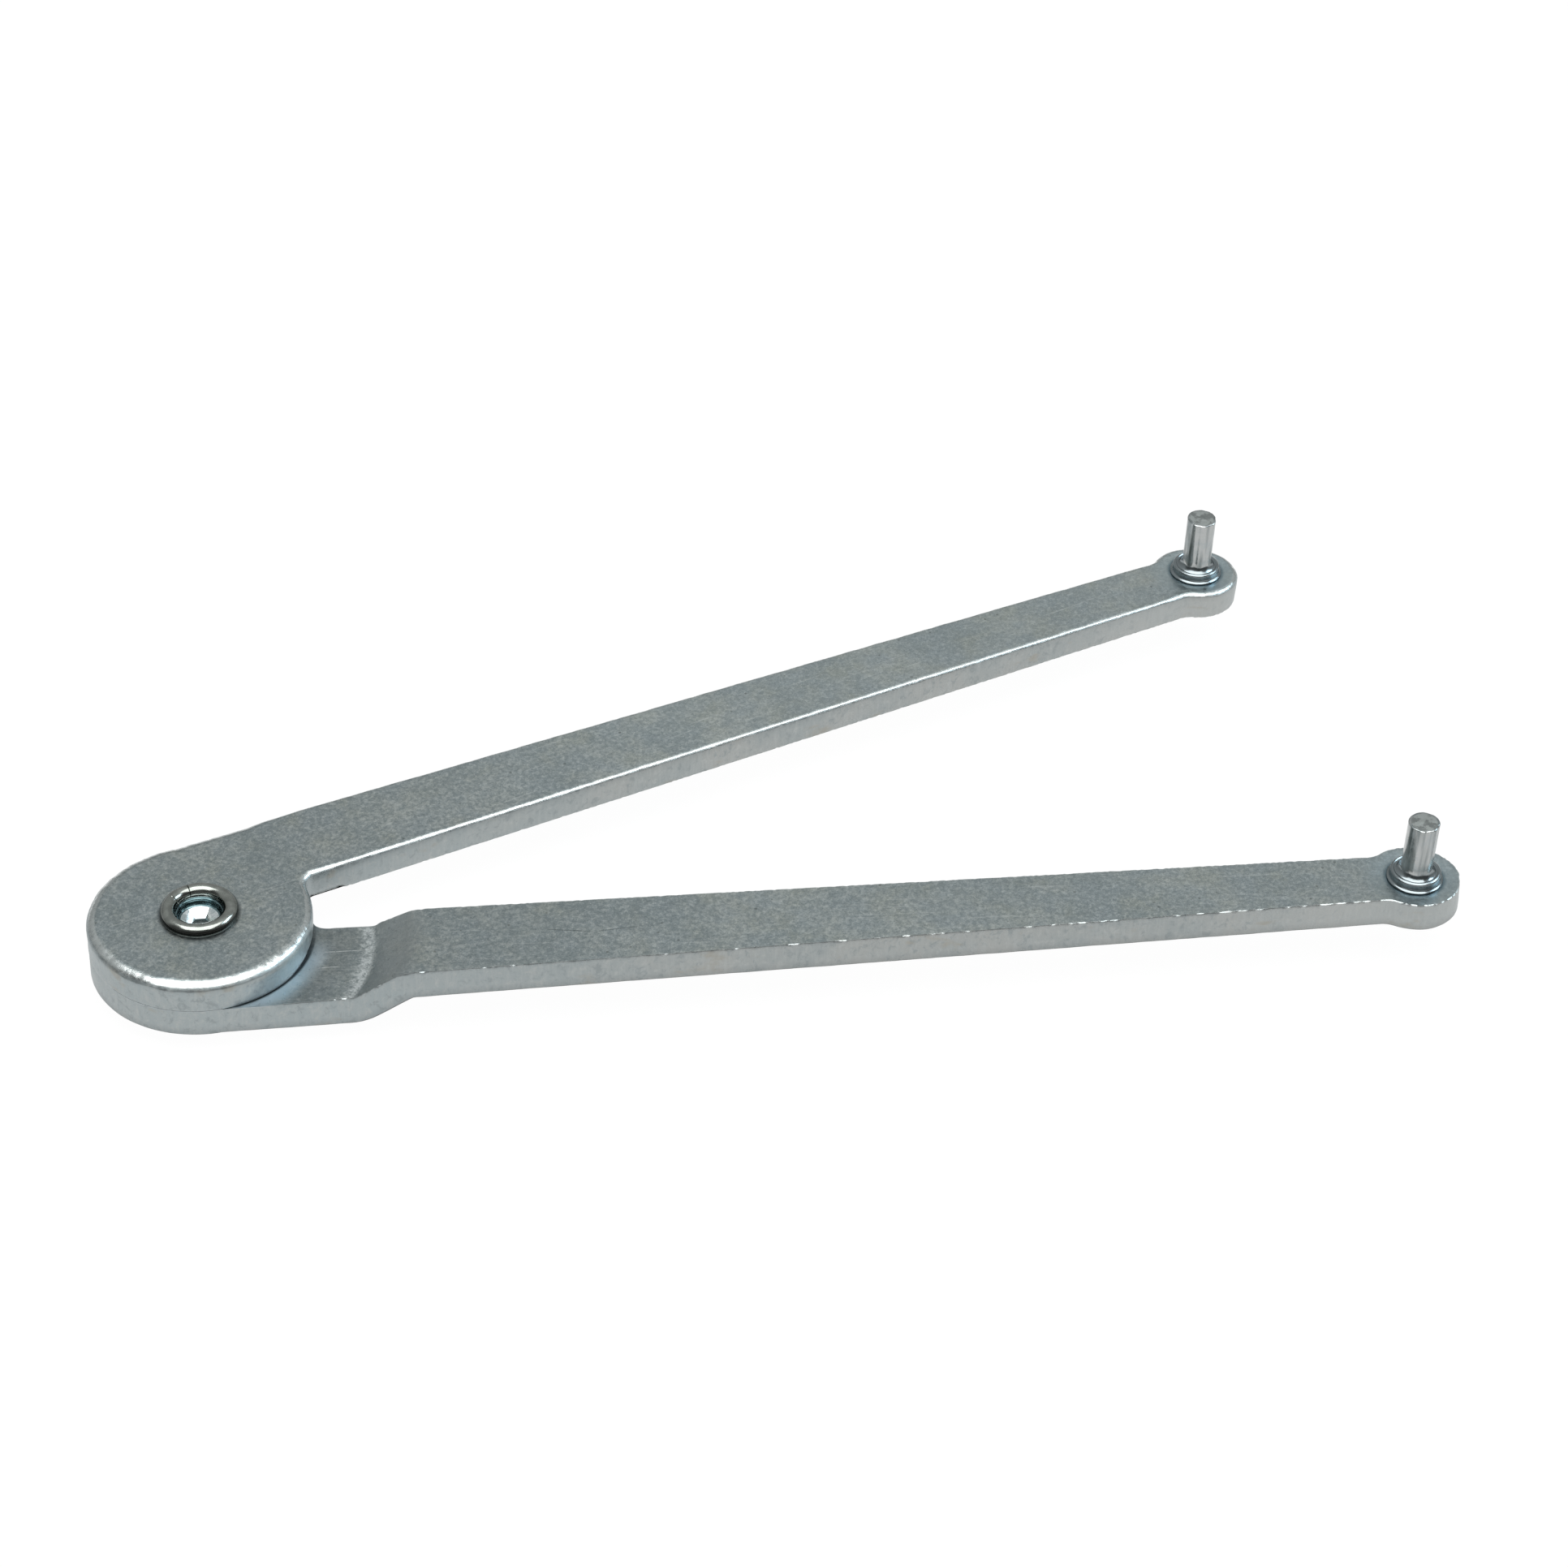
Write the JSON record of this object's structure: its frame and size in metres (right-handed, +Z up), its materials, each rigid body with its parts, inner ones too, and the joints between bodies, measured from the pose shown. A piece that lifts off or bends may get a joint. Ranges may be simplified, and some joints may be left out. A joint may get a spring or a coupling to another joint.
{
  "type": "adjustable face pin wrench",
  "caption": "Two flat zinc-plated steel arms hinged on a hollow rivet, each with an upright pin at its tip that fits the face holes of a round nut or cap.",
  "frame": {"origin": "on the pivot axis, in the flat underside of the rivet's factory head", "axes": "+Z up, along the pivot axis and the way the pins point; +X along the middle of the opening, from the pivot towards the tips, the longest way of the part"},
  "size_m": [0.1699, 0.083, 0.019],
  "materials": {
    "lower_arm": "satin zinc plate on stamped steel",
    "pivot_rivet": "darker, smoother plated steel",
    "lower_pin": "bright zinc plate on turned steel",
    "upper_arm": "satin zinc plate on stamped steel",
    "upper_pin": "bright zinc plate on turned steel"
  },
  "bodies": {
    "lower_arm": {"lower_arm": "lower_arm", "pivot_rivet": "pivot_rivet", "lower_pin": "lower_pin"},
    "upper_arm": {"upper_arm": "upper_arm", "upper_pin": "upper_pin"}
  },
  "joints": [
    {"name": "pivot", "type": "hinge", "parent": "lower_arm", "child": "upper_arm", "pos_m": [0, 0, 0], "axis": [0, 0, 1], "range_deg": [-22, 256]}
  ]
}
